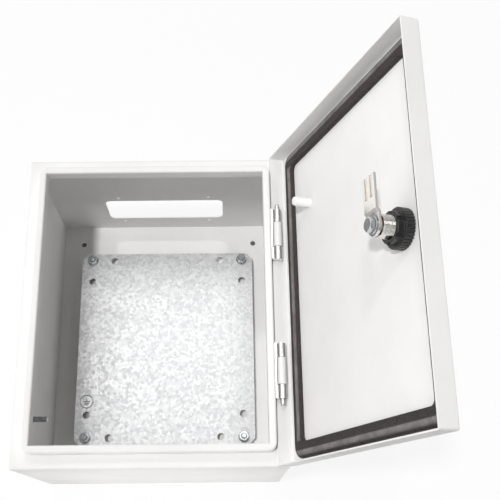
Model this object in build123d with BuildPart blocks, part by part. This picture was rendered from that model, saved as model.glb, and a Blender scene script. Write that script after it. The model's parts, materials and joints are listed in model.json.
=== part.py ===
from build123d import *
import os
from math import cos, radians, sin

os.makedirs("parts", exist_ok=True)

# Driving sizes in millimetres: the origin is on the wall, at the middle of the box's back
width = 250.0
height = 300.0
depth = 200.0  # wall to the front of the closed door
sheet = 1.2
open_angle = 110.0  # of the door, from closed

# Front frame of the cabinet
flange_wide = 12.5
rim_stand = 14.0  # rim ahead of the flange
rim_wide = 7.0
rim_return = 13.0
rim_corner = 8.0
bend_inner = 0.8
bend_outer = bend_inner + sheet

# Door and its seal
fold = 16.0
door_lift = 3.5  # fold tips ahead of the flange when closed
side_gap = 0.5  # door inside the cabinet's outline
gasket_inset = 4.7  # from the door's edges
gasket_hinge_inset = 11.8  # from its hinge edge
gasket_wide = 14.3
gasket_corner = 10.0
gasket_mouth_corner = 5.0
seal_gap = 0.3  # gasket to rim when closed
imprint_deep = 0.8  # rim's mark in the gasket
imprint_side = 0.5  # mark beyond the rim's sides

# Hinges
hinge_in = 5.6  # axis inside the door's edge
hinge_stand = 7.8  # axis ahead of the flange
hinge_end = 84.0  # each hinge's middle from the cabinet's top or bottom
hinge_long = 50.6
knuckle_long = 25.2  # painted knuckle on the door
knuckle_gap = 0.3
pin_radius = 2.5
pin_fit = 0.05
pin_reach = 6.0  # pin beyond the outer knuckle
leaf_thick = 1.5
leaf_back = 1.9  # leaf's edge behind the axis, clear of the swinging fold
leaf_front = 1.2  # leaf's edge behind the rim's front

# Wall holes and cable entry
wall_hole_side = 24.0  # from the cabinet's sides
wall_hole_end = 23.0  # from its top and bottom
wall_hole_radius = 3.0
entry_side = 59.5  # entry from the cabinet's sides
entry_deep = 51.0
entry_corner = 7.0
entry_forward = 56.5  # middle of the entry from the wall
entry_screw_in = 16.0  # inside the entry's ends
entry_screw_out = 7.5  # outside its long edges
entry_screw_radius = 2.0

# Mounting plate and its fixings
plate_side = 26.0  # plate from the cabinet's sides
plate_end = 39.5  # plate from its top and bottom
plate_thick = 2.0
plate_drop = 1.0  # plate's middle below the cabinet's middle
plate_corner = 7.0
stud_side = 12.5  # studs from the plate's sides
stud_edge = 8.5  # studs from its upper and lower edges
spare_step = 25.0  # spare holes from the stud holes
plate_hole_radius = 4.0
stud_radius = 3.0
spacer_long = 12.5
spacer_radius = 6.0
thread_gap = 0.05
washer_gap = 0.2
washer_radius = 6.0
washer_thick = 1.6
spring_radius = 5.7
spring_slit = 1.0
nut_flats = 10.0
nut_thick = 5.0
nut_face_radius = 4.8
nut_taper = 60.0
stud_tail = 3.5  # stud beyond its nut
tip_chamfer = 0.8

# Earth studs
earth_long = 18.0
earth_behind = 61.0  # behind the flange
earth_up = 53.0  # above the cabinet's bottom
door_stud_in = 56.5  # from the door's hinge edge
door_stud_down = 70.0  # below the cabinet's top
door_stud_long = 12.0
cap_radius = 4.2
cap_long = 17.0
cap_dome = 2.6

# Lock
lock_in = 42.0  # from the door's free edge
lock_drop = 1.5
seal_thick = 1.0
head_radius = 14.0
head_thick = 4.0
head_chamfer = 1.0
barrel_radius = 9.0
barrel_flats = 15.6
barrel_long = 22.5  # behind the door's front
barrel_gap = 0.2
lock_nut_radius = 15.6
lock_nut_thick = 7.0
serrations = 36
serration_size = 1.1
collar_turn = 15.0
collar_radius = 12.4
collar_long = 5.0
collar_slots = 6
collar_slot = 4.0
plug_radius = 6.0
plug_gap = 0.08
plug_head_radius = 7.2
plug_head_thick = 1.7
turn_gap = 0.3
key_radius = 4.4
key_deep = 6.0
key_bar = 3.0
shank = 8.0
cam_wide = 16.0
cam_reach = 38.0
cam_thick = 2.2
cam_base = 24.0  # cam's near face at the spindle, from the door's front
cam_crank = 2.0
crank_start = 8.2
crank_end = 11.4
cam_groove_wide = 4.2
cam_groove_deep = 0.9
cam_groove_pitch = 7.4
cam_groove_start = 20.0
cam_washer_radius = 7.0
cam_washer_thick = 1.2
bolt_radius = 3.0
bolt_head = 4.0
bolt_long = 12.0
bolt_turn = 12.0

# Sizes that follow from those above
body_depth = depth - fold - door_lift
rim_front = body_depth + rim_stand
rim_w = width - 2 * flange_wide
rim_h = height - 2 * flange_wide
mouth_w = rim_w - 2 * rim_wide
mouth_h = rim_h - 2 * rim_wide
door_w = width - 2 * side_gap
door_h = height - 2 * side_gap
gasket_pressed = fold + door_lift - sheet - rim_stand - seal_gap
gasket_thick = gasket_pressed + imprint_deep
hinge_height = height / 2 - hinge_end
wall_hole_x = width - 2 * wall_hole_side
wall_hole_z = height - 2 * wall_hole_end
entry_wide = width - 2 * entry_side
entry_screw_x = entry_wide - 2 * entry_screw_in
entry_screw_y = entry_deep + 2 * entry_screw_out
plate_wide = width - 2 * plate_side
plate_tall = height - 2 * plate_end
stud_x = plate_wide - 2 * stud_side
stud_z = plate_tall - 2 * stud_edge
plate_back = sheet + spacer_long
plate_front = plate_back + plate_thick
washer_front = plate_front + washer_thick
spring_front = washer_front + washer_thick
nut_front = spring_front + nut_thick
stud_end = nut_front + stud_tail
hinge_x = width / 2 - side_gap - hinge_in
hinge_y = -(body_depth + hinge_stand)
knuckle_radius = hinge_in - sheet
bracket_radius = knuckle_radius - knuckle_gap
front_off = fold + door_lift - hinge_stand  # hinge axis to the door's front
inner_off = front_off - sheet
lock_x = door_w - hinge_in - lock_in
cam_far = cam_base + cam_thick

# Wall planes: the first looks out of the wall to the front, the door's looks into the closed box
wall = Plane.XZ
turn = radians(open_angle)
door_along = (-cos(turn), -sin(turn), 0)
door_inward = (-sin(turn), cos(turn), 0)
door = Plane(origin=(hinge_x, hinge_y, 0), x_dir=door_along, z_dir=door_inward)
inward = Axis(door.origin, door_inward)
door_front = door.offset(-front_off)
door_inside = door.offset(-inner_off)
lock = Plane(door_front.from_local_coords(Vector(lock_x, -lock_drop, 0)), x_dir=door_along, z_dir=door_inward)

# Cabinet shell: walls, flange, forward rim and return, with the cable entry in its top
with BuildPart() as cabinet_shell:
    with BuildSketch(wall):
        RectangleRounded(width, height, bend_outer)
        RectangleRounded(width - 2 * sheet, height - 2 * sheet, bend_inner, mode=Mode.SUBTRACT)
    extrude(amount=body_depth)
    with BuildSketch(wall.offset(body_depth - sheet)):
        RectangleRounded(width, height, bend_outer)
        RectangleRounded(rim_w - 2 * sheet, rim_h - 2 * sheet, rim_corner - sheet, mode=Mode.SUBTRACT)
    extrude(amount=sheet)
    with BuildSketch(wall.offset(body_depth)):
        RectangleRounded(rim_w, rim_h, rim_corner)
        RectangleRounded(rim_w - 2 * sheet, rim_h - 2 * sheet, rim_corner - sheet, mode=Mode.SUBTRACT)
    extrude(amount=rim_stand)
    with BuildSketch(wall.offset(rim_front - sheet)):
        RectangleRounded(rim_w, rim_h, rim_corner)
        Rectangle(mouth_w, mouth_h, mode=Mode.SUBTRACT)
    extrude(amount=sheet)
    with BuildSketch(wall.offset(rim_front - rim_return)):
        Rectangle(mouth_w + 2 * sheet, mouth_h + 2 * sheet)
        Rectangle(mouth_w, mouth_h, mode=Mode.SUBTRACT)
    extrude(amount=rim_return)
    rim_face = cabinet_shell.faces().filter_by(Axis.Y).sort_by(Axis.Y)[0]
    fillet(rim_face.outer_wire().edges(), bend_outer)
    rim_face = cabinet_shell.faces().filter_by(Axis.Y).sort_by(Axis.Y)[0]
    fillet(rim_face.inner_wires()[0].edges(), bend_outer)
    flange_face = cabinet_shell.faces().filter_by(Axis.Y).filter_by_position(
        Axis.Y, -body_depth - sheet / 2, -body_depth + sheet / 2
    )[0]
    fillet(flange_face.outer_wire().edges(), bend_outer)
    with BuildSketch(Plane.XY.offset(height / 2)):
        with Locations((0, -entry_forward)):
            RectangleRounded(entry_wide, entry_deep, entry_corner)
            with GridLocations(entry_screw_x, entry_screw_y, 2, 2):
                Circle(entry_screw_radius)
    extrude(amount=-2 * sheet, mode=Mode.SUBTRACT)

# Back panel, set between the walls
with BuildPart() as back_panel:
    with BuildSketch(wall):
        RectangleRounded(width - 2 * sheet, height - 2 * sheet, bend_inner)
        with GridLocations(wall_hole_x, wall_hole_z, 2, 2):
            Circle(wall_hole_radius, mode=Mode.SUBTRACT)
    extrude(amount=sheet)

# Mounting plate with clipped corners, stud holes and spare holes beside them
plate_middle = (0, -plate_drop)
with BuildPart() as mounting_plate:
    with BuildSketch(wall.offset(plate_back)) as plate_outline:
        with Locations(plate_middle):
            Rectangle(plate_wide, plate_tall)
        chamfer(plate_outline.vertices(), plate_corner)
        with Locations(plate_middle):
            with GridLocations(stud_x, stud_z, 2, 2):
                Circle(plate_hole_radius, mode=Mode.SUBTRACT)
            with GridLocations(stud_x - 2 * spare_step, stud_z, 2, 2):
                Circle(plate_hole_radius, mode=Mode.SUBTRACT)
            with GridLocations(stud_x, stud_z - 2 * spare_step, 2, 2):
                Circle(plate_hole_radius, mode=Mode.SUBTRACT)
    extrude(amount=plate_thick)

with BuildPart() as plate_studs:
    with BuildSketch(wall.offset(sheet)):
        with Locations(plate_middle):
            with GridLocations(stud_x, stud_z, 2, 2):
                Circle(stud_radius)
    extrude(amount=stud_end - sheet)
    chamfer(plate_studs.faces().group_by(Axis.Y)[0].edges(), tip_chamfer)

with BuildPart() as plate_spacers:
    with BuildSketch(wall.offset(sheet)):
        with Locations(plate_middle):
            with GridLocations(stud_x, stud_z, 2, 2):
                Circle(spacer_radius)
                Circle(stud_radius + washer_gap, mode=Mode.SUBTRACT)
    extrude(amount=spacer_long)

with BuildPart() as plate_washers:
    with BuildSketch(wall.offset(plate_front)):
        with Locations(plate_middle):
            with GridLocations(stud_x, stud_z, 2, 2):
                Circle(washer_radius)
                Circle(stud_radius + washer_gap, mode=Mode.SUBTRACT)
    extrude(amount=washer_thick)

with BuildPart() as plate_spring_washers:
    with BuildSketch(wall.offset(washer_front)):
        with Locations(plate_middle):
            with GridLocations(stud_x, stud_z, 2, 2):
                Circle(spring_radius)
                Circle(stud_radius + washer_gap, mode=Mode.SUBTRACT)
                Rectangle(spring_slit, spring_radius, align=(Align.CENTER, Align.MAX), mode=Mode.SUBTRACT)
    extrude(amount=washer_thick)

# Nuts, each left at its own angle, with both faces turned back at the corners
nut_turns = (8, 22, 41, 53)
nut_corner = nut_flats / 2 / cos(radians(30))
with BuildPart() as plate_nuts:
    with BuildSketch(wall.offset(spring_front)):
        with Locations(plate_middle):
            for place, nut_turn in zip(GridLocations(stud_x, stud_z, 2, 2), nut_turns):
                with Locations(place):
                    RegularPolygon(nut_corner, 6, rotation=nut_turn)
                    Circle(stud_radius + thread_gap, mode=Mode.SUBTRACT)
    extrude(amount=nut_thick)
    for face, way in ((spring_front, 1), (nut_front, -1)):
        with BuildSketch(wall.offset(face)):
            with Locations(plate_middle):
                with GridLocations(stud_x, stud_z, 2, 2):
                    Circle(nut_face_radius)
        extrude(amount=way * nut_thick, taper=-nut_taper, mode=Mode.INTERSECT)

with BuildPart() as cabinet_earth_stud:
    with BuildSketch(Plane.YZ.offset(-width / 2 + sheet)):
        with Locations((earth_behind - body_depth, earth_up - height / 2)):
            Circle(stud_radius)
    extrude(amount=earth_long)
    chamfer(cabinet_earth_stud.faces().sort_by(Axis.X)[-1].edges(), tip_chamfer)

# Door: a tray folded on all four sides, with a double-flatted hole for the lock
door_middle = (door_w / 2 - hinge_in, 0)
with BuildPart() as door_panel:
    with BuildSketch(door_front):
        with Locations(door_middle):
            RectangleRounded(door_w, door_h, bend_outer)
    extrude(amount=sheet)
    with BuildSketch(door_front):
        with Locations(door_middle):
            RectangleRounded(door_w, door_h, bend_outer)
            RectangleRounded(door_w - 2 * sheet, door_h - 2 * sheet, bend_inner, mode=Mode.SUBTRACT)
    extrude(amount=fold)
    outside = door_panel.faces().filter_by(inward).sort_by(inward)[0]
    fillet(outside.outer_wire().edges(), bend_outer)
    with BuildSketch(lock):
        Circle(barrel_radius + barrel_gap)
        Rectangle(3 * barrel_radius, barrel_flats + 2 * barrel_gap, mode=Mode.INTERSECT)
    extrude(amount=sheet, mode=Mode.SUBTRACT)

# Foam gasket, further in beside the hinges, with the mark that the rim has pressed along it
gasket_w = door_w - gasket_inset - gasket_hinge_inset
gasket_h = door_h - 2 * gasket_inset
gasket_mouth_w = gasket_w - 2 * gasket_wide
gasket_mouth_h = gasket_h - 2 * gasket_wide
gasket_middle = (door_w / 2 - hinge_in + (gasket_hinge_inset - gasket_inset) / 2, 0)
with BuildPart() as door_gasket:
    with BuildSketch(door_inside):
        with Locations(gasket_middle):
            RectangleRounded(gasket_w, gasket_h, gasket_corner)
            RectangleRounded(gasket_mouth_w, gasket_mouth_h, gasket_mouth_corner, mode=Mode.SUBTRACT)
    extrude(amount=gasket_thick)
    with BuildSketch(door_inside.offset(gasket_thick)):
        with Locations(door_middle):
            RectangleRounded(rim_w + 2 * imprint_side, rim_h + 2 * imprint_side, rim_corner)
            Rectangle(mouth_w - 2 * imprint_side, mouth_h - 2 * imprint_side, mode=Mode.SUBTRACT)
    extrude(amount=-imprint_deep, mode=Mode.SUBTRACT)

door_stud_at = (door_stud_in - hinge_in, height / 2 - door_stud_down)
with BuildPart() as door_earth_stud:
    with BuildSketch(door_inside):
        with Locations(door_stud_at):
            Circle(stud_radius)
    extrude(amount=door_stud_long)

with BuildPart() as door_stud_cap:
    with BuildSketch(door_inside):
        with Locations(door_stud_at):
            Circle(cap_radius)
    extrude(amount=cap_long)
    fillet(door_stud_cap.faces().sort_by(inward)[-1].edges(), cap_dome)
    with BuildSketch(door_inside):
        with Locations(door_stud_at):
            Circle(stud_radius + thread_gap)
    extrude(amount=door_stud_long, mode=Mode.SUBTRACT)

# Hinges: a plated bracket on the rim's side, a painted knuckle on the door and a pin, mirrored up and down
rim_side = width / 2 - flange_wide
outer_knuckle = (hinge_long - knuckle_long) / 2
leaf_from = hinge_stand - leaf_back
leaf_deep = rim_stand - leaf_front - leaf_from
hinges = {}
for place, side in (("upper", 1), ("lower", -1)):
    middle = side * hinge_height
    with BuildPart() as bracket:
        with BuildSketch(Plane.XY.offset(middle - hinge_long / 2)):
            with Locations((rim_side, -body_depth - leaf_from)):
                Rectangle(leaf_thick, leaf_deep, align=(Align.MIN, Align.MAX))
        extrude(amount=hinge_long)
        for bottom in (middle - hinge_long / 2, middle + knuckle_long / 2):
            with BuildSketch(Plane.XY.offset(bottom)):
                with Locations((hinge_x, hinge_y)):
                    Circle(bracket_radius)
                    Rectangle(hinge_x - rim_side, leaf_thick, align=(Align.MAX, Align.MAX))
                    Circle(pin_radius + pin_fit, mode=Mode.SUBTRACT)
            extrude(amount=outer_knuckle)
    knuckle_bottom = middle - knuckle_long / 2 + knuckle_gap
    with BuildPart() as knuckle:
        with BuildSketch(Plane((hinge_x, hinge_y, knuckle_bottom), x_dir=door_along)):
            Circle(knuckle_radius)
            Rectangle(knuckle_radius, knuckle_radius, align=(Align.MAX, Align.CENTER))
            Circle(pin_radius + pin_fit, mode=Mode.SUBTRACT)
        extrude(amount=knuckle_long - 2 * knuckle_gap)
    with BuildPart() as pin:
        with BuildSketch(Plane.XY.offset(middle - side * hinge_long / 2)):
            with Locations((hinge_x, hinge_y)):
                Circle(pin_radius)
        extrude(amount=side * (hinge_long + pin_reach))
        chamfer(pin.faces().sort_by(Axis.Z)[-1 if side > 0 else 0].edges(), 2 * tip_chamfer, tip_chamfer)
    hinges[f"{place}_hinge_bracket"] = bracket
    hinges[f"{place}_door_knuckle"] = knuckle
    hinges[f"{place}_hinge_pin"] = pin

# Lock housing: head outside the door, threaded barrel with two flats through it
with BuildPart() as lock_housing:
    with BuildSketch(lock.offset(-seal_thick)):
        Circle(head_radius)
    extrude(amount=-head_thick)
    chamfer(lock_housing.faces().sort_by(inward)[0].edges(), head_chamfer)
    with BuildSketch(lock.offset(-seal_thick)):
        Circle(barrel_radius)
        Rectangle(3 * barrel_radius, barrel_flats, mode=Mode.INTERSECT)
    extrude(amount=seal_thick + barrel_long)
    with BuildSketch(lock.offset(barrel_long)):
        Circle(plug_radius + plug_gap)
    extrude(amount=-(barrel_long + seal_thick + head_thick), mode=Mode.SUBTRACT)
    with BuildSketch(lock.offset(-seal_thick - head_thick)):
        Circle(plug_head_radius + turn_gap)
    extrude(amount=plug_head_thick + turn_gap, mode=Mode.SUBTRACT)

with BuildPart() as lock_seal:
    with BuildSketch(lock.offset(-seal_thick)):
        Circle(head_radius - seal_thick)
        Circle(barrel_radius + barrel_gap, mode=Mode.SUBTRACT)
    extrude(amount=seal_thick)

# Lock nut: a serrated flange against the door and a slotted collar behind it
with BuildPart() as lock_nut:
    with BuildSketch(lock.offset(sheet)):
        Circle(lock_nut_radius)
        with PolarLocations(lock_nut_radius, serrations):
            RegularPolygon(serration_size, 3, rotation=180, mode=Mode.SUBTRACT)
    extrude(amount=lock_nut_thick)
    with BuildSketch(lock.offset(sheet + lock_nut_thick)):
        Circle(collar_radius)
        with PolarLocations(collar_radius, collar_slots, start_angle=collar_turn):
            Rectangle(collar_slot, collar_slot, mode=Mode.SUBTRACT)
    extrude(amount=collar_long)
    with BuildSketch(lock.offset(sheet)):
        Circle(barrel_radius + thread_gap)
    extrude(amount=lock_nut_thick + collar_long, mode=Mode.SUBTRACT)

# Lock spindle: key socket in front, square shank behind for the cam
plug_front = -seal_thick - head_thick
with BuildPart() as lock_spindle:
    with BuildSketch(lock.offset(plug_front)):
        Circle(plug_head_radius)
    extrude(amount=plug_head_thick)
    with BuildSketch(lock.offset(plug_front)):
        Circle(plug_radius)
    extrude(amount=barrel_long - plug_front + turn_gap)
    with BuildSketch(lock.offset(barrel_long)):
        Rectangle(shank, shank)
    extrude(amount=cam_far - barrel_long)
    with BuildSketch(lock.offset(plug_front)):
        Circle(key_radius)
        Rectangle(key_bar, 2 * key_radius - key_bar, mode=Mode.SUBTRACT)
    extrude(amount=key_deep, mode=Mode.SUBTRACT)
    with BuildSketch(lock.offset(cam_far)):
        Circle(bolt_radius + thread_gap)
    extrude(amount=-bolt_long, mode=Mode.SUBTRACT)

# Lock cam: a cranked strip, pressed with two grooves that run out at its tip
cam_side = Plane(lock.origin, x_dir=(0, 0, 1), z_dir=door_along)
with BuildPart() as lock_cam:
    with BuildSketch(cam_side.offset(-cam_wide / 2)):
        with BuildLine():
            Polyline(
                (-cam_wide / 2, cam_base),
                (crank_start, cam_base),
                (crank_end, cam_base + cam_crank),
                (cam_reach, cam_base + cam_crank),
                (cam_reach, cam_far + cam_crank),
                (crank_end - cam_thick / 3, cam_far + cam_crank),
                (crank_start - cam_thick / 3, cam_far),
                (-cam_wide / 2, cam_far),
                close=True,
            )
        make_face()
    extrude(amount=cam_wide)
    with BuildSketch(lock):
        Circle(cam_wide / 2)
        Rectangle(cam_wide, cam_reach, align=(Align.CENTER, Align.MIN))
    extrude(amount=cam_far + cam_crank, mode=Mode.INTERSECT)
    with BuildSketch(lock.offset(cam_far + cam_crank)):
        with Locations((0, cam_groove_start)):
            with GridLocations(cam_groove_pitch, 0, 2, 1):
                Rectangle(cam_groove_wide, cam_reach, align=(Align.CENTER, Align.MIN))
    extrude(amount=-cam_groove_deep, mode=Mode.SUBTRACT)
    with BuildSketch(lock.offset(cam_base)):
        Rectangle(shank + 2 * thread_gap, shank + 2 * thread_gap)
    extrude(amount=cam_thick, mode=Mode.SUBTRACT)

with BuildPart() as cam_washer:
    with BuildSketch(lock.offset(cam_far)):
        Circle(cam_washer_radius)
        Circle(bolt_radius + washer_gap, mode=Mode.SUBTRACT)
    extrude(amount=cam_washer_thick)

with BuildPart() as cam_bolt:
    with BuildSketch(lock.offset(cam_far + cam_washer_thick)):
        RegularPolygon(nut_corner, 6, rotation=bolt_turn)
    extrude(amount=bolt_head)
    with BuildSketch(lock.offset(cam_far + cam_washer_thick + bolt_head)):
        Circle(nut_face_radius)
    extrude(amount=-bolt_head, taper=-nut_taper, mode=Mode.INTERSECT)
    with BuildSketch(lock.offset(cam_far + cam_washer_thick)):
        Circle(bolt_radius)
    extrude(amount=-(bolt_long - tip_chamfer))

pieces = {
    "cabinet_shell": cabinet_shell,
    "back_panel": back_panel,
    "mounting_plate": mounting_plate,
    "plate_studs": plate_studs,
    "plate_spacers": plate_spacers,
    "plate_washers": plate_washers,
    "plate_spring_washers": plate_spring_washers,
    "plate_nuts": plate_nuts,
    "cabinet_earth_stud": cabinet_earth_stud,
    "door_panel": door_panel,
    "door_gasket": door_gasket,
    "door_earth_stud": door_earth_stud,
    "door_stud_cap": door_stud_cap,
    "lock_housing": lock_housing,
    "lock_seal": lock_seal,
    "lock_nut": lock_nut,
    "lock_spindle": lock_spindle,
    "lock_cam": lock_cam,
    "cam_washer": cam_washer,
    "cam_bolt": cam_bolt,
    **hinges,
}
for name, piece in pieces.items():
    piece.part.label = name
    export_step(piece.part, f"parts/{name}.step")
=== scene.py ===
import json
import math

import bpy
from mathutils import Matrix, Vector, noise


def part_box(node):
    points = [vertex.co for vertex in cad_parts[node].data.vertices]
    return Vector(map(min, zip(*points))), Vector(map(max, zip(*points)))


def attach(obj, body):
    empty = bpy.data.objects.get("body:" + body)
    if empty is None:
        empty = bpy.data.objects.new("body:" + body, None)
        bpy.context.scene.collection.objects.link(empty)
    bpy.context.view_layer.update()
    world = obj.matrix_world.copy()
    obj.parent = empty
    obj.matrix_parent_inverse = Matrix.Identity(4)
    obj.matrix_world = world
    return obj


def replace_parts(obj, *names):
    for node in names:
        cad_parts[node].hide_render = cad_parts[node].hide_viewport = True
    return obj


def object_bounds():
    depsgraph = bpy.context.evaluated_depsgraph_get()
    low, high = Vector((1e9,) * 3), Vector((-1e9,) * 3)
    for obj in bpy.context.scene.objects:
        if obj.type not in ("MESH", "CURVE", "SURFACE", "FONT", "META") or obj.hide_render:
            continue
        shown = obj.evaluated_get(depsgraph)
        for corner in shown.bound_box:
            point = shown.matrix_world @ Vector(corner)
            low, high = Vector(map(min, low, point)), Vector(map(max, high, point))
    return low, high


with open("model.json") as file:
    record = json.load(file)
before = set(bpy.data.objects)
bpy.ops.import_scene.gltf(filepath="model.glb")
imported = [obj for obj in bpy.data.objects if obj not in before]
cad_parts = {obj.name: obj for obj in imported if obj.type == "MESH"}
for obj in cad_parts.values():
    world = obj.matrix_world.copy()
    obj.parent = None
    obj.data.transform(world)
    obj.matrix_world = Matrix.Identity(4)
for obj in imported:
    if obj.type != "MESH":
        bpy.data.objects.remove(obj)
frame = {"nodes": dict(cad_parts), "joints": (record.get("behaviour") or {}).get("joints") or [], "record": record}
nodes = frame["nodes"]
cadBox = [list(corner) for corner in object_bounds()]
joints = {joint["name"]: joint for joint in frame["joints"]}
scene = bpy.context.scene
scene.view_settings.view_transform = "Standard"

# working frames: x along, y up, z out of the surface
toRight = Vector((1, 0, 0))
toFront = Vector((0, -1, 0))
up = Vector((0, 0, 1))
inward = Vector(joints["lock_turn"]["axis"]).normalized()  # out of the door's inner face


def workFrame(origin, along, out):
    turn = Matrix((along, out.cross(along), out)).transposed()
    return Matrix.Translation(origin) @ turn.to_4x4()


freeSide = up.cross(inward)  # along the door
doorFrame = workFrame(Vector(joints["door_hinge"]["pos_m"]), freeSide, inward)
lockFrame = workFrame(Vector(joints["lock_turn"]["pos_m"]), freeSide, inward)


def boxIn(nodeName, place):
    back = place.inverted()
    points = [back @ vert.co for vert in nodes[nodeName].data.vertices]
    low = Vector([min(p[i] for p in points) for i in range(3)])
    high = Vector([max(p[i] for p in points) for i in range(3)])
    return low, high


# node helpers
def setInputs(node, inputs):
    for label, value in inputs.items():
        node.inputs[label].default_value = value


def addNode(tree, kind, x, y, **inputs):
    node = tree.nodes.new(kind)
    node.location = (x, y)
    setInputs(node, inputs)
    return node


def fillInputs(tree, node, values):  # sockets are linked, plain values are set
    for socket, value in zip(node.inputs, values):
        if isinstance(value, bpy.types.NodeSocket):
            tree.links.new(value, socket)
        else:
            socket.default_value = value


def newGroup(name, inputs, outputs):
    tree = bpy.data.node_groups.new(name, "ShaderNodeTree")
    face = tree.interface
    for label, value in inputs.items():
        socket = face.new_socket(name=label, in_out="INPUT", socket_type="NodeSocketFloat")
        socket.default_value = value
    for label, kind in outputs.items():
        face.new_socket(name=label, in_out="OUTPUT", socket_type=kind)
    source = addNode(tree, "NodeGroupInput", -800, 0)
    sink = addNode(tree, "NodeGroupOutput", 600, 0)
    return tree, source, sink


def placeGroup(tree, group, x, y, **inputs):
    node = addNode(tree, "ShaderNodeGroup", x, y)
    node.node_tree = group
    setInputs(node, inputs)
    return node


def rangeNode(tree, x, y, source, low=0.0, high=1.0, start=0.0, stop=1.0):
    node = addNode(tree, "ShaderNodeMapRange", x, y)
    limits = {"From Min": start, "From Max": stop, "To Min": low, "To Max": high}
    setInputs(node, limits)
    tree.links.new(source, node.inputs["Value"])
    return node.outputs["Result"]


def rampNode(tree, x, y, source, stops, colours):
    node = addNode(tree, "ShaderNodeValToRGB", x, y)
    for element, where, colour in zip(node.color_ramp.elements, stops, colours):
        element.position = where
        element.color = (*colour, 1)
    tree.links.new(source, node.inputs["Fac"])
    return node.outputs["Color"]


def mixNode(tree, x, y, mask, under, colour):  # a plain colour over another where the mask says
    node = addNode(tree, "ShaderNodeMix", x, y)
    node.data_type = "RGBA"  # sockets 0, 6, 7 and 2 are its factor, colours and result
    tree.links.new(mask, node.inputs[0])
    tree.links.new(under, node.inputs[6])
    node.inputs[7].default_value = (*colour, 1)
    return node.outputs[2]


def mathNode(tree, x, y, operation, *values):
    node = addNode(tree, "ShaderNodeMath", x, y)
    node.operation = operation
    fillInputs(tree, node, values)
    return node.outputs["Value"]


def vectorNode(tree, x, y, operation, *values, result="Vector"):
    node = addNode(tree, "ShaderNodeVectorMath", x, y)
    node.operation = operation
    fillInputs(tree, node, values)
    return node.outputs[result]


# shared effects
def buildGrain():  # fine even grain with a slow mottle, for paint, foam and moulded plastic
    tree, source, sink = newGroup("surfaceGrain", {"Fine": 700, "Slow": 18},
                                  {"Height": "NodeSocketFloat", "Mottle": "NodeSocketFloat"})
    where = addNode(tree, "ShaderNodeTexCoord", -800, -200)
    grain = addNode(tree, "ShaderNodeTexNoise", -400, 120, Detail=3.0, Roughness=0.55)
    mottle = addNode(tree, "ShaderNodeTexNoise", -400, -160, Detail=4.0, Roughness=0.6)
    for node, label in ((grain, "Fine"), (mottle, "Slow")):
        tree.links.new(where.outputs["Object"], node.inputs["Vector"])
        tree.links.new(source.outputs[label], node.inputs["Scale"])
    tree.links.new(grain.outputs["Fac"], sink.inputs["Height"])
    tree.links.new(mottle.outputs["Fac"], sink.inputs["Mottle"])
    return tree


def buildEdges():  # rounds the shading over an edge and marks where it is
    tree, source, sink = newGroup("softEdges", {"Radius": 0.0004},
                                  {"Normal": "NodeSocketVector", "Edge": "NodeSocketFloat"})
    bevel = addNode(tree, "ShaderNodeBevel", -400, 100)
    bevel.samples = 6
    tree.links.new(source.outputs["Radius"], bevel.inputs["Radius"])
    flat = addNode(tree, "ShaderNodeNewGeometry", -400, -120)
    along = vectorNode(tree, -150, 0, "DOT_PRODUCT", bevel.outputs["Normal"],
                       flat.outputs["Normal"], result="Value")
    bend = mathNode(tree, 50, 0, "SUBTRACT", 1.0, along)
    tree.links.new(bevel.outputs["Normal"], sink.inputs["Normal"])
    tree.links.new(rangeNode(tree, 250, 0, bend, start=0.02, stop=0.25), sink.inputs["Edge"])
    return tree


def buildHandling():  # faint smears and dust where hands and cloths have been
    tree, source, sink = newGroup("handling", {"Scale": 9, "Amount": 0.5},
                                  {"Mask": "NodeSocketFloat"})
    where = addNode(tree, "ShaderNodeTexCoord", -800, -200)
    smear = addNode(tree, "ShaderNodeMapping", -600, -200,
                    Scale=(1.0, 1.0, 0.35), Rotation=(0.3, 0.5, 0.2))
    tree.links.new(where.outputs["Object"], smear.inputs["Vector"])
    cloud = addNode(tree, "ShaderNodeTexNoise", -400, 0,
                    Detail=6.0, Roughness=0.62, Distortion=0.4)
    tree.links.new(smear.outputs["Vector"], cloud.inputs["Vector"])
    tree.links.new(source.outputs["Scale"], cloud.inputs["Scale"])
    patch = rangeNode(tree, -150, 0, cloud.outputs["Fac"], start=0.52, stop=0.74)
    mask = mathNode(tree, 100, 0, "MULTIPLY", patch, source.outputs["Amount"])
    tree.links.new(mask, sink.inputs["Mask"])
    return tree


def buildMetalGrain():  # fine drawn lines and pits of rolled or plated metal
    tree, source, sink = newGroup("metalGrain", {"Scale": 900, "Stretch": 0.08},
                                  {"Height": "NodeSocketFloat", "Streak": "NodeSocketFloat"})
    where = addNode(tree, "ShaderNodeTexCoord", -800, -250)
    spread = addNode(tree, "ShaderNodeCombineXYZ", -600, -50, X=1.0, Y=1.0)
    tree.links.new(source.outputs["Stretch"], spread.inputs["Z"])
    drawn = vectorNode(tree, -450, -200, "MULTIPLY", where.outputs["Object"],
                       spread.outputs["Vector"])
    lines = addNode(tree, "ShaderNodeTexNoise", -200, 100, Detail=4.0, Roughness=0.6)
    pits = addNode(tree, "ShaderNodeTexNoise", -200, -200, Detail=3.0, Roughness=0.7)
    for node, place in ((lines, drawn), (pits, where.outputs["Object"])):
        tree.links.new(place, node.inputs["Vector"])
        tree.links.new(source.outputs["Scale"], node.inputs["Scale"])
    height = mathNode(tree, 100, 0, "ADD", lines.outputs["Fac"], pits.outputs["Fac"])
    tree.links.new(height, sink.inputs["Height"])
    tree.links.new(lines.outputs["Fac"], sink.inputs["Streak"])
    return tree


spangle = {
    "wobble": 260.0, "wander": 0.0025,  # how finely and how far the crystals' edges wander
    "feather": 600.0,
    "crystalShare": 0.5, "featherShare": 0.6,  # of the tone
}


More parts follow.
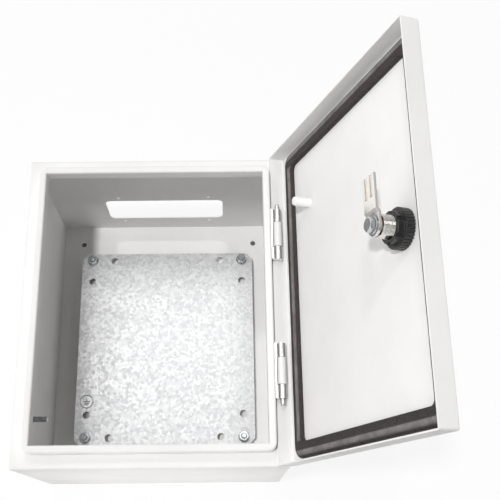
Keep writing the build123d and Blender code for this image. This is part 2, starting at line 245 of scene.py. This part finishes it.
def buildSpangle(look):  # zinc crystals: each has its own tone and tilt, with feathers across it
    tree, source, sink = newGroup("zincSpangle", {"Scale": 120, "Tilt": 0.1},
                                  {"Tone": "NodeSocketFloat", "Normal": "NodeSocketVector"})
    where = addNode(tree, "ShaderNodeTexCoord", -1000, -200)
    wobble = addNode(tree, "ShaderNodeTexNoise", -800, -300,
                     Scale=look["wobble"], Detail=4.0, Roughness=0.7)
    tree.links.new(where.outputs["Object"], wobble.inputs["Vector"])
    pushed = vectorNode(tree, -600, -200, "MULTIPLY_ADD", wobble.outputs["Color"],
                        [look["wander"]] * 3, where.outputs["Object"])
    cells = addNode(tree, "ShaderNodeTexVoronoi", -350, 150)
    tree.links.new(pushed, cells.inputs["Vector"])
    tree.links.new(source.outputs["Scale"], cells.inputs["Scale"])
    feather = addNode(tree, "ShaderNodeTexNoise", -350, -200,
                      Scale=look["feather"], Detail=5.0, Roughness=0.75, Distortion=0.6)
    tree.links.new(pushed, feather.inputs["Vector"])
    own = addNode(tree, "ShaderNodeSeparateColor", -150, 150)
    tree.links.new(cells.outputs["Color"], own.inputs["Color"])
    coarse = mathNode(tree, 50, 150, "MULTIPLY", own.outputs["Red"], look["crystalShare"])
    fine = mathNode(tree, 50, -100, "MULTIPLY", feather.outputs["Fac"], look["featherShare"])
    tree.links.new(mathNode(tree, 250, 0, "ADD", coarse, fine), sink.inputs["Tone"])
    middle = vectorNode(tree, -150, 400, "SUBTRACT", cells.outputs["Color"], (0.5, 0.5, 0.5))
    lean = vectorNode(tree, 50, 400, "MULTIPLY", middle, source.outputs["Tilt"])
    flat = addNode(tree, "ShaderNodeNewGeometry", 50, 600)
    tilted = vectorNode(tree, 250, 450, "ADD", flat.outputs["Normal"], lean)
    tree.links.new(vectorNode(tree, 420, 450, "NORMALIZE", tilted), sink.inputs["Normal"])
    return tree


def buildRecessShade():  # paints shade into grooves and corners, darker where they are closed in
    tree, source, sink = newGroup("recessShade", {"Reach": 0.002}, {"Mask": "NodeSocketFloat"})
    openness = addNode(tree, "ShaderNodeAmbientOcclusion", -400, 0)
    openness.samples = 8
    tree.links.new(source.outputs["Reach"], openness.inputs["Distance"])
    mask = rangeNode(tree, -100, 0, openness.outputs["AO"], start=0.92, stop=0.55)
    tree.links.new(mask, sink.inputs["Mask"])
    return tree


grainGroup = buildGrain()
edgeGroup = buildEdges()
handlingGroup = buildHandling()
metalGroup = buildMetalGrain()
spangleGroup = buildSpangle(spangle)
recessShadeGroup = buildRecessShade()
print("effects: 6 shared groups")


# materials
def newMaterial(name, **constants):
    mat = bpy.data.materials.new(name)
    mat.use_nodes = True
    tree = mat.node_tree
    shader = tree.nodes["Principled BSDF"]
    setInputs(shader, {label.replace("_", " "): value for label, value in constants.items()})
    return mat, tree, shader


def wireShader(tree, shader, colour, roughness, normal):
    tree.links.new(colour, shader.inputs["Base Color"])
    tree.links.new(roughness, shader.inputs["Roughness"])
    tree.links.new(normal, shader.inputs["Normal"])


def bumpNode(tree, x, y, height, strength, distance, normal=None):
    bump = addNode(tree, "ShaderNodeBump", x, y, Strength=strength, Distance=distance)
    tree.links.new(height, bump.inputs["Height"])
    if normal:
        tree.links.new(normal, bump.inputs["Normal"])
    return bump.outputs["Normal"]


powderCoat = {
    "tones": ((0.83, 0.825, 0.815), (0.875, 0.87, 0.865)), "stops": (0.25, 0.6), "mottle": 14,
    "smear": (0.74, 0.73, 0.72), "smearScale": 7, "smearAmount": 0.22,
    "rough": (0.38, 0.50), "shine": 0.28, "edge": 0.0007,
    "peel": 620, "peelStrength": 0.5, "peelDepth": 0.00006,
}


def makePowderCoat(look):
    mat, tree, shader = newMaterial("whitePowderCoat", Specular_IOR_Level=look["shine"])
    grain = placeGroup(tree, grainGroup, -900, 0, Fine=look["peel"], Slow=look["mottle"])
    hands = placeGroup(tree, handlingGroup, -900, 250,
                       Scale=look["smearScale"], Amount=look["smearAmount"])
    edges = placeGroup(tree, edgeGroup, -900, -250, Radius=look["edge"])
    mottle = grain.outputs["Mottle"]
    paint = rampNode(tree, -650, 100, mottle, look["stops"], look["tones"])
    colour = mixNode(tree, -350, 150, hands.outputs["Mask"], paint, look["smear"])
    roughness = rangeNode(tree, -350, -100, mottle, *look["rough"])
    normal = bumpNode(tree, -350, -300, grain.outputs["Height"], look["peelStrength"],
                      look["peelDepth"], edges.outputs["Normal"])
    wireShader(tree, shader, colour, roughness, normal)
    return mat


galvanised = {
    "tones": ((0.63, 0.64, 0.65), (0.86, 0.864, 0.868)), "stops": (0.25, 0.8),
    "rough": (0.50, 0.40), "metal": 0.66,
    "crystal": 340, "tilt": 0.075, "relief": 0.3, "depth": 0.00006,
}


def makeGalvanised(look):
    mat, tree, shader = newMaterial("galvanisedSheet", Metallic=look["metal"])
    crystals = placeGroup(tree, spangleGroup, -800, 100, Scale=look["crystal"], Tilt=look["tilt"])
    tone = crystals.outputs["Tone"]
    colour = rampNode(tree, -450, 150, tone, look["stops"], look["tones"])
    roughness = rangeNode(tree, -450, -100, tone, *look["rough"])
    normal = bumpNode(tree, -450, -350, tone, look["relief"], look["depth"],
                      crystals.outputs["Normal"])
    wireShader(tree, shader, colour, roughness, normal)
    return mat


brightPlating = {
    "tones": ((0.79, 0.775, 0.745), (0.88, 0.865, 0.84)), "stops": (0.3, 0.65),
    "rubAndHighlight": (0.92, 0.91, 0.89), "edge": 0.0003,  # bright where an edge is rubbed
    # the recess tone is painted shade in grooves and corners
    "shadeTone": (0.46, 0.45, 0.435), "recess": 0.003,
    "rough": (0.08, 0.22), "metal": 0.72, "smearScale": 60, "smearAmount": 0.6,
    "grain": 700, "stretch": 0.15, "relief": 0.25, "depth": 0.00002,
}
camPlating = {**brightPlating, "shadeTone": (0.30, 0.26, 0.21)}  # painted shade in the grooves, tinted tan
zincPlating = {
    **brightPlating,
    "tones": ((0.52, 0.55, 0.58), (0.72, 0.74, 0.76)),
    # the recess tone is painted shade in the thread roots
    "rubAndHighlight": (0.86, 0.87, 0.88), "shadeTone": (0.26, 0.26, 0.265), "recess": 0.0012,
    "rough": (0.13, 0.28), "metal": 0.9, "grain": 900, "stretch": 0.6, "depth": 0.00003,
}


def makePlatedMetal(name, look):
    mat, tree, shader = newMaterial(name, Metallic=look["metal"])
    grain = placeGroup(tree, metalGroup, -900, 0, Scale=look["grain"], Stretch=look["stretch"])
    hands = placeGroup(tree, handlingGroup, -900, 250,
                       Scale=look["smearScale"], Amount=look["smearAmount"])
    edges = placeGroup(tree, edgeGroup, -900, -250, Radius=look["edge"])
    recess = placeGroup(tree, recessShadeGroup, -300, 450, Reach=look["recess"])
    tone = rampNode(tree, -600, 150, grain.outputs["Streak"], look["stops"], look["tones"])
    worn = mixNode(tree, -300, 150, edges.outputs["Edge"], tone, look["rubAndHighlight"])
    # painted shade: the colour darkens where grooves and corners are closed in
    colour = mixNode(tree, -50, 250, recess.outputs["Mask"], worn, look["shadeTone"])
    roughness = rangeNode(tree, -300, -100, hands.outputs["Mask"], *look["rough"])
    normal = bumpNode(tree, -300, -350, grain.outputs["Height"], look["relief"], look["depth"],
                      edges.outputs["Normal"])
    wireShader(tree, shader, colour, roughness, normal)
    return mat


foam = {
    "tones": ((0.020, 0.017, 0.016), (0.048, 0.041, 0.039)), "stops": (0.36, 0.55),
    "ridge": (0.36, 0.345, 0.33),  # painted sheen on the crest beside the rim's mark
    "rough": (0.75, 0.55), "shine": 0.3,
    "pores": 900, "mottle": 90, "relief": 0.7, "depth": 0.0003,
}


def makeFoam(look):
    mat, tree, shader = newMaterial("gasketFoam", Specular_IOR_Level=look["shine"])
    grain = placeGroup(tree, grainGroup, -900, 0, Fine=look["pores"], Slow=look["mottle"])
    ridge = addNode(tree, "ShaderNodeAttribute", -900, 300)
    ridge.attribute_name = "ridge"
    height, mottle = grain.outputs["Height"], grain.outputs["Mottle"]
    skin = rampNode(tree, -600, 50, height, look["stops"], look["tones"])
    # painted sheen: lighter along the gasket's crest
    crestSheen = mathNode(tree, -600, 300, "MULTIPLY", ridge.outputs["Fac"], mottle)
    colour = mixNode(tree, -300, 150, crestSheen, skin, look["ridge"])
    roughness = rangeNode(tree, -300, -100, mottle, *look["rough"])
    normal = bumpNode(tree, -300, -300, height, look["relief"], look["depth"])
    wireShader(tree, shader, colour, roughness, normal)
    return mat


blackNylon = {
    "tones": ((0.017, 0.0167, 0.0167), (0.036, 0.035, 0.035)), "stops": (0.3, 0.7), "mottle": 60,
    # the lighter edge tone is a painted highlight on moulded edges
    "rubAndHighlight": (0.17, 0.168, 0.168), "edge": 0.0004,
    "rough": (0.24, 0.38), "shine": 0.5, "grain": 1500, "relief": 0.4, "depth": 0.00004,
}
capPlastic = {
    **blackNylon,
    "tones": ((0.82, 0.815, 0.80), (0.88, 0.875, 0.865)), "rubAndHighlight": (0.90, 0.895, 0.89),
    "rough": (0.30, 0.42), "grain": 1100, "depth": 0.00003,
}
sealRubber = {
    **blackNylon,
    "tones": ((0.018, 0.018, 0.018), (0.035, 0.034, 0.034)),
    "rubAndHighlight": (0.05, 0.05, 0.05), "edge": 0.0002,
    "rough": (0.60, 0.80), "shine": 0.35, "grain": 1300, "depth": 0.00005,
}


def makeMoulded(name, look):
    mat, tree, shader = newMaterial(name, Specular_IOR_Level=look["shine"])
    grain = placeGroup(tree, grainGroup, -900, 0, Fine=look["grain"], Slow=look["mottle"])
    edges = placeGroup(tree, edgeGroup, -900, -250, Radius=look["edge"])
    mottle = grain.outputs["Mottle"]
    tone = rampNode(tree, -600, 100, mottle, look["stops"], look["tones"])
    # painted highlight: lighter along the edges
    colour = mixNode(tree, -300, 150, edges.outputs["Edge"], tone, look["rubAndHighlight"])
    roughness = rangeNode(tree, -300, -100, mottle, *look["rough"])
    normal = bumpNode(tree, -300, -300, grain.outputs["Height"], look["relief"], look["depth"],
                      edges.outputs["Normal"])
    wireShader(tree, shader, colour, roughness, normal)
    return mat


finishes = {
    "white_paint": makePowderCoat(powderCoat),
    "galvanised_sheet": makeGalvanised(galvanised),
    "plated_steel": makePlatedMetal("brightPlating", brightPlating),
    "zinc_fixings": makePlatedMetal("zincPlating", zincPlating),
    "foam_gasket": makeFoam(foam),
    "black_plastic": makeMoulded("blackNylon", blackNylon),
    "white_plastic": makeMoulded("capPlastic", capPlastic),
    "rubber_seal": makeMoulded("sealRubber", sealRubber),
}
for part in frame["record"]["subparts"]:
    mesh = nodes[part["node"]].data
    mesh.materials.clear()
    mesh.materials.append(finishes[part["material_slot"]])
nodes["lock_cam"].data.materials[0] = makePlatedMetal("camPlating", camPlating)


# pieces that carry more form than the frame's solids
def meshPiece(name, verts, faces, slot, body, sharp=35):
    mesh = bpy.data.meshes.new(name)
    mesh.from_pydata(verts, [], faces)
    mesh.polygons.foreach_set("use_smooth", [True] * len(mesh.polygons))
    mesh.set_sharp_from_angle(angle=math.radians(sharp))
    mesh.materials.append(finishes[slot])
    piece = bpy.data.objects.new(name, mesh)
    scene.collection.objects.link(piece)
    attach(piece, body)
    return piece


threadShape = {"crest": 0.125, "flank": 0.625}  # shares of half a pitch


def threadDip(turns):  # 0 on the crest, 1 in the root
    away = abs(turns % 1.0 - 0.5) * 2
    return min(1.0, max(0.0, (away - threadShape["crest"]) / threadShape["flank"]))


def onCircle(radius, turn, along):
    return Vector((radius * math.cos(math.tau * turn), radius * math.sin(math.tau * turn), along))


def ringFaces(first, second, around):
    return [(first + k, first + (k + 1) % around, second + (k + 1) % around, second + k)
            for k in range(around)]


rodThread = {"pitch": 0.001, "depth": 0.0006, "tip": 0.0008, "around": 36, "perTurn": 8}


def threadedRods(name, radius, length, places, slot, body):
    verts, faces = [], []
    around = rodThread["around"]
    rows = round(length / rodThread["pitch"] * rodThread["perTurn"])
    for place in places:
        start = len(verts)
        for row in range(rows + 1):
            along = length * row / rows
            most = min(radius, radius - rodThread["tip"] + length - along)
            for k in range(around):
                turn = k / around
                dip = threadDip(along / rodThread["pitch"] - turn)
                r = min(most, radius - rodThread["depth"] * dip)
                verts.append(place @ onCircle(r, turn, along))
        for row in range(rows):
            faces += ringFaces(start + row * around, start + (row + 1) * around, around)
        faces.append(tuple(range(start, start + around))[::-1])
        last = start + rows * around
        faces.append(tuple(range(last, last + around)))
    return meshPiece(name, verts, faces, slot, body)


earthLow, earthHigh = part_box("cabinet_earth_stud")
studRadius = (earthHigh.z - earthLow.z) / 2
low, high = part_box("plate_studs")
studPlaces = [workFrame(Vector((x, high.y, z)), toRight, toFront)
              for x in (low.x + studRadius, high.x - studRadius)
              for z in (low.z + studRadius, high.z - studRadius)]
plateStuds = threadedRods("plateStudThreads", studRadius, high.y - low.y, studPlaces,
                          "zinc_fixings", "cabinet")
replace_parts(plateStuds, "plate_studs")

earthFoot = Vector((earthLow.x, (earthLow.y + earthHigh.y) / 2, (earthLow.z + earthHigh.z) / 2))
earthStud = threadedRods("earthStudThread", studRadius, earthHigh.x - earthLow.x,
                         [workFrame(earthFoot, up, toRight)], "zinc_fixings", "cabinet")
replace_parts(earthStud, "cabinet_earth_stud")
print("studs: threaded")


lockBarrel = {
    "radius": 0.0090, "flat": 0.0078, "bore": 0.00608, "end": 0.0225, "tip": 0.0006,
    "head": 0.014, "headBack": -0.001, "headFront": -0.005, "headChamfer": 0.001,
    "recess": 0.0075, "recessFloor": -0.003,
    "pitch": 0.001, "depth": 0.0005, "perTurn": 8, "around": 120,
    # its recess tone is a faint painted shade in the thread roots
    "finish": {**brightPlating, "shadeTone": (0.50, 0.49, 0.48), "rough": (0.05, 0.12),
               "recess": 0.0006, "metal": 1.0},
}


def makeLockBarrel(look):
    around = look["around"]
    barrelLong = look["end"] - look["headBack"]
    rows = round(barrelLong / look["pitch"] * look["perTurn"])
    section = [(look["radius"], look["headBack"] + barrelLong * row / rows, True)
               for row in range(rows + 1)]  # radius, along, whether it is threaded and flatted
    section += [
        (look["bore"], look["end"], False),
        (look["bore"], look["recessFloor"], False),
        (look["recess"], look["recessFloor"], False),
        (look["recess"], look["headFront"], False),
        (look["head"] - look["headChamfer"], look["headFront"], False),
        (look["head"], look["headFront"] + look["headChamfer"], False),
        (look["head"], look["headBack"], False),
    ]
    verts, faces = [], []
    for radius, along, threaded in section:
        for k in range(around):
            turn = k / around
            r = radius
            if threaded:
                r -= look["depth"] * threadDip(along / look["pitch"] - turn)
                r = min(r, look["radius"] - look["tip"] + look["end"] - along)
            point = onCircle(r, turn, along)
            if threaded:
                point.y = max(-look["flat"], min(look["flat"], point.y))
            verts.append(lockFrame @ point)
    for row in range(len(section)):
        faces += ringFaces(row * around, (row + 1) % len(section) * around, around)
    piece = meshPiece("lockBarrelThread", verts, faces, "plated_steel", "door")
    piece.data.materials[0] = makePlatedMetal("barrelChrome", look["finish"])
    return piece


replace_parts(makeLockBarrel(lockBarrel), "lock_housing")
print("lock: threaded barrel")


gasketForm = {
    "wide": 0.0143, "outerCorner": 0.010, "innerCorner": 0.005, "cornerSteps": 10, "step": 0.003,
    "rows": 30, "outerSquare": 3.8, "innerSquare": 10.0,  # how square the strip's edges are
    "rimInset": 0.016, "rimCorner": 0.0045, "rimHalf": 0.0036, "rimEdge": 0.0009,  # closed rim
    "markDeep": 0.0008, "uneven": 0.00018, "waves": 60, "drift": 0.35,
    "crestFrom": 0.8, "crestSpan": 0.2,  # shares of the thickness
}


def gasketLoop(low, high, inset, corner, look):
    left, right, bottom, top = low.x + inset, high.x - inset, low.y + inset, high.y - inset
    bends = [((right - corner, bottom + corner), -90), ((right - corner, top - corner), 0),
             ((left + corner, top - corner), 90), ((left + corner, bottom + corner), 180)]
    runs = [round((high.y - low.y) / look["step"]), round((high.x - low.x) / look["step"])]

    def onBend(middle, degrees):
        turn = math.radians(degrees)
        return middle[0] + corner * math.cos(turn), middle[1] + corner * math.sin(turn)

    points = []
    for side, (middle, start) in enumerate(bends):
        for k in range(look["cornerSteps"] + 1):
            points.append(onBend(middle, start + 90 * k / look["cornerSteps"]))
        here, there = points[-1], onBend(*bends[(side + 1) % 4])
        count = runs[side % 2]
        for k in range(1, count):
            points.append((here[0] + (there[0] - here[0]) * k / count,
                           here[1] + (there[1] - here[1]) * k / count))
    return points


def rimPress(sideways, upward, half, look):  # 1 under the closed rim, 0 beside it
    sideways = abs(sideways) - (half.x - look["rimInset"] - look["rimCorner"])
    upward = abs(upward) - (half.z - look["rimInset"] - look["rimCorner"])
    away = math.hypot(max(sideways, 0), max(upward, 0)) + min(max(sideways, upward), 0)
    away = abs(away - look["rimCorner"])  # from the rim's middle line
    return 1 - min(1.0, max(0.0, (away - look["rimHalf"]) / look["rimEdge"]))


def makeGasket(look):
    low, high = boxIn("door_gasket", doorFrame)
    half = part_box("cabinet_shell")[1]
    hingeX = joints["door_hinge"]["pos_m"][0]
    wide, thick = look["wide"], high.z - low.z
    verts, faces, crest = [], [], []
    for row in range(look["rows"] + 1):
        turn = math.pi * row / look["rows"]
        across = wide / 2 * (1 - math.cos(turn))
        square = look["outerSquare"] if across < wide / 2 else look["innerSquare"]
        dome = thick * (1 - abs(math.cos(turn)) ** square) ** 0.5
        corner = look["outerCorner"] + (look["innerCorner"] - look["outerCorner"]) * across / wide
        loop = gasketLoop(low, high, across, corner, look)
        for x, y in loop:
            press = rimPress(hingeX - x, y, half, look)
            spot = Vector((x * look["waves"], y * look["waves"], row * look["drift"]))
            wave = abs(noise.noise(spot)) * look["uneven"] * dome / thick
            rise = dome - press * max(0.0, dome - thick + look["markDeep"]) - wave
            verts.append(doorFrame @ Vector((x, y, low.z + rise)))
            # the crest value carries the painted sheen into the foam's colour
            crestShare = max(0.0, (dome / thick - look["crestFrom"]) / look["crestSpan"])
            crest.append((1 - press) * crestShare)
    around = len(loop)
    for row in range(look["rows"] + 1):
        faces += ringFaces(row * around, (row + 1) % (look["rows"] + 1) * around, around)
    piece = meshPiece("gasketStrip", verts, faces, "foam_gasket", "door", sharp=70)
    ridge = piece.data.attributes.new("ridge", "FLOAT", "POINT")
    ridge.data.foreach_set("value", crest)
    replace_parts(piece, "door_gasket")
    return piece


makeGasket(gasketForm)
print("gasket: foam strip")


earthSign = {
    "x": -0.0868, "z": -0.0632, "radius": 0.0070, "stem": 0.0034,
    "bars": ((0.0, 0.0037), (-0.0018, 0.0024), (-0.0036, 0.0011)),  # height, half length
    "stroke": 0.00055, "flatness": 0.6, "sunk": 0.00005, "rib": 6,
    "ringSteps": 64, "stemSteps": 4, "barSteps": 6,
    # the sign's darker tones are painted shade that makes the stamped ring show
    "finish": {**zincPlating, "tones": ((0.30, 0.305, 0.31), (0.40, 0.405, 0.41)),
               "rubAndHighlight": (0.55, 0.555, 0.56)},
}


def makeEarthSign(look):
    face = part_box("mounting_plate")[0].y
    place = workFrame(Vector((look["x"], face, look["z"])), toRight, toFront)
    verts, faces = [], []
    rib = look["rib"]
    row = rib + 1

    def stroke(points, closed):  # a low half-round ridge along the points
        start = len(verts)
        count = len(points)
        for i, point in enumerate(points):
            ahead = points[(i + 1) % count] if closed or i + 1 < count else point
            behind = points[i - 1] if closed or i > 0 else point
            run = (ahead - behind).normalized()
            side = Vector((-run.y, run.x, 0)) * look["stroke"]
            for k in range(row):
                turn = math.pi * k / rib
                rise = look["flatness"] * look["stroke"] * math.sin(turn) - look["sunk"]
                verts.append(place @ (point + side * math.cos(turn) + Vector((0, 0, rise))))
        for i in range(count if closed else count - 1):
            a, b = start + i * row, start + (i + 1) % count * row
            faces.extend((a + k, a + k + 1, b + k + 1, b + k) for k in range(rib))
            faces.append((a, b, b + rib, a + rib))
        if not closed:
            faces.append(tuple(range(start, start + row))[::-1])
            faces.append(tuple(range(start + (count - 1) * row, start + count * row)))

    stroke([onCircle(look["radius"], k / look["ringSteps"], 0) for k in range(look["ringSteps"])],
           True)
    stroke([Vector((0, look["stem"] * (1 - k / look["stemSteps"]), 0))
            for k in range(look["stemSteps"] + 1)], False)
    for height, half in look["bars"]:
        stroke([Vector((half * (2 * k / look["barSteps"] - 1), height, 0))
                for k in range(look["barSteps"] + 1)], False)
    piece = meshPiece("earthSign", verts, faces, "galvanised_sheet", "cabinet")
    piece.data.materials[0] = makePlatedMetal("signPaintedShade", look["finish"])
    return piece


makeEarthSign(earthSign)
print("plate: earth sign")


# stage: pale floor under the box and pale wall behind it, seen but not lighting anything
stageLook = {
    "floor": 0.86, "floorGlow": 0.30, "wall": 0.12, "wallGlow": 0.87, "rough": 0.9, "reach": 4.0,
    "gap": 0.0003, "shadeSheetGap": 0.0001,  # from the box to floor and wall, and to the painted-shade sheet
}


def makeStageMaterial(name, pale, glow):
    mat, tree, shader = newMaterial(
        name, Base_Color=(pale, pale, pale, 1), Roughness=stageLook["rough"],
        Specular_IOR_Level=0.0, Emission_Color=(1, 1, 1, 1), Emission_Strength=glow)
    rays = addNode(tree, "ShaderNodeLightPath", -700, 300)
    side = addNode(tree, "ShaderNodeNewGeometry", -700, -100)
    seen = mathNode(tree, -450, 300, "MAXIMUM", rays.outputs["Is Camera Ray"],
                    rays.outputs["Is Glossy Ray"])
    seen = mathNode(tree, -300, 300, "MAXIMUM", seen, rays.outputs["Is Transmission Ray"])
    facing = mathNode(tree, -450, -100, "SUBTRACT", 1.0, side.outputs["Backfacing"])
    clear = addNode(tree, "ShaderNodeBsdfTransparent", 100, 250)
    mix = addNode(tree, "ShaderNodeMixShader", 350, 150)
    fillInputs(tree, mix, (mathNode(tree, -150, 100, "MULTIPLY", seen, facing),
                           clear.outputs["BSDF"], shader.outputs["BSDF"]))
    tree.links.new(mix.outputs["Shader"], tree.nodes["Material Output"].inputs["Surface"])
    return mat


def makeStagePlane(name, pale, glow, corners):
    mesh = bpy.data.meshes.new(name)
    mesh.from_pydata(corners, [], [(0, 1, 2, 3)])
    mesh.materials.append(makeStageMaterial(name, pale, glow))
    plane = bpy.data.objects.new(name, mesh)
    scene.collection.objects.link(plane)


def rectangle(low, high):  # counter-clockwise corners
    return [(low[0], low[1]), (high[0], low[1]), (high[0], high[1]), (low[0], high[1])]


reach = stageLook["reach"]
wide = rectangle((-reach, -reach), (reach, reach))
floorZ, backY = cadBox[0][2] - stageLook["gap"], cadBox[1][1]
makeStagePlane("paleFloor", stageLook["floor"], stageLook["floorGlow"],
               [(x, y, floorZ) for x, y in wide])
makeStagePlane("paleWall", stageLook["wall"], stageLook["wallGlow"],
               [(x, backY + stageLook["gap"], z) for x, z in wide])
low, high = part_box("back_panel")
makeStagePlane("shadeSheetBehindBox", stageLook["wall"], 0.0,  # a dark sheet of painted shade, behind the wall holes
               [(x, backY + stageLook["shadeSheetGap"], z)
                for x, z in rectangle((low.x, low.z), (high.x, high.z))])


# light: a key into the box from the left of the camera, a lamp at the right side and one under
# the box, a weak sun from the front and above, a card that only shiny surfaces mirror, and a
# room that is bright to the left and behind
spotLamps = {
    "keyLamp": {"place": (-0.36, -2.70, -0.25), "aim": (-0.25, -0.18, 0.0),
                "power": 157, "size": 0.09, "cone": 44, "blend": 0.3},
    "sideLamp": {"place": (2.00, -0.10, 0.15), "aim": (0.15, -0.22, 0.0),
                 "power": 56, "size": 0.25, "cone": 28, "blend": 0.5},
    "underLamp": {"place": (-0.10, -0.12, -1.0), "aim": (0.0, -0.08, -0.15),
                  "power": 11.5, "size": 0.10, "cone": 24, "blend": 0.4},
}
topLamp = {"place": (0, 0, 1), "travel": (0.08, 0.857, -0.514), "strength": 0.48, "angle": 4}
mirrorCard = {"place": (-0.15, -1.60, 0.40), "size": (1.2, 0.64), "power": 7.3}
room = {"level": 0.60, "left": 0.38, "behind": 0.48, "above": 0.10, "least": 0.05,
        "colour": (1.0, 0.99, 0.98, 1)}


def addLamp(name, kind, energy, place, travel):
    lamp = bpy.data.lights.new(name, kind)
    lamp.energy = energy
    lampObject = bpy.data.objects.new(name, lamp)
    lampObject.location = place
    lampObject.rotation_euler = travel.to_track_quat("-Z", "Y").to_euler()
    scene.collection.objects.link(lampObject)
    return lampObject


for name, look in spotLamps.items():
    travel = Vector(look["aim"]) - Vector(look["place"])
    lamp = addLamp(name, "SPOT", look["power"], look["place"], travel)
    lamp.visible_glossy = False  # no glare on the plate and lock
    lamp.data.shadow_soft_size = look["size"]
    lamp.data.spot_size = math.radians(look["cone"])
    lamp.data.spot_blend = look["blend"]
overhead = addLamp("topLamp", "SUN", topLamp["strength"], topLamp["place"],
                   Vector(topLamp["travel"]))
overhead.visible_glossy = False
overhead.data.angle = math.radians(topLamp["angle"])
card = addLamp("mirrorCard", "AREA", mirrorCard["power"], mirrorCard["place"], -toFront)
card.data.shape = "RECTANGLE"
card.data.size, card.data.size_y = mirrorCard["size"]
card.visible_camera = False
card.visible_diffuse = False

world = bpy.data.worlds.new("paleRoom")
scene.world = world
world.use_nodes = True
tree = world.node_tree
tree.nodes.clear()
aim = addNode(tree, "ShaderNodeTexCoord", -1000, 0)
brightWay = (-room["left"], room["behind"], room["above"])
lean = vectorNode(tree, -750, 0, "DOT_PRODUCT", aim.outputs["Generated"], brightWay, result="Value")
level = mathNode(tree, -500, 0, "ADD", lean, room["level"])
level = mathNode(tree, -350, 0, "MAXIMUM", level, room["least"])
rays = addNode(tree, "ShaderNodeLightPath", -750, 350)
shown = mathNode(tree, -500, 350, "MAXIMUM", rays.outputs["Is Camera Ray"],
                 rays.outputs["Is Transmission Ray"])
roomLight = addNode(tree, "ShaderNodeBackground", -200, 0, Color=room["colour"])
tree.links.new(level, roomLight.inputs["Strength"])
backdrop = addNode(tree, "ShaderNodeBackground", -200, 200, Color=(1, 1, 1, 1), Strength=1.0)
pick = addNode(tree, "ShaderNodeMixShader", 50, 100)
fillInputs(tree, pick, (shown, roomLight.outputs["Background"], backdrop.outputs["Background"]))
worldOut = addNode(tree, "ShaderNodeOutputWorld", 250, 100)
tree.links.new(pick.outputs["Shader"], worldOut.inputs["Surface"])
print("stage and light: done")


photoCamera = {
    "lens": 58.919, "sensor": 36, "nearest": 0.01,
    "shift": (0.04, 0.016),  # the photo is cropped off its middle
    "place": (0.070593, -0.922294, -0.213837), "turn": (109.28886, 0.59695, 0.02768),
}
camera = bpy.data.cameras.new("photoCamera")
camera.lens = photoCamera["lens"]
camera.sensor_width = photoCamera["sensor"]
camera.shift_x, camera.shift_y = photoCamera["shift"]
camera.clip_start = photoCamera["nearest"]
cameraObject = bpy.data.objects.new("photoCamera", camera)
cameraObject.location = photoCamera["place"]
cameraObject.rotation_euler = [math.radians(value) for value in photoCamera["turn"]]
scene.collection.objects.link(cameraObject)
scene.camera = cameraObject
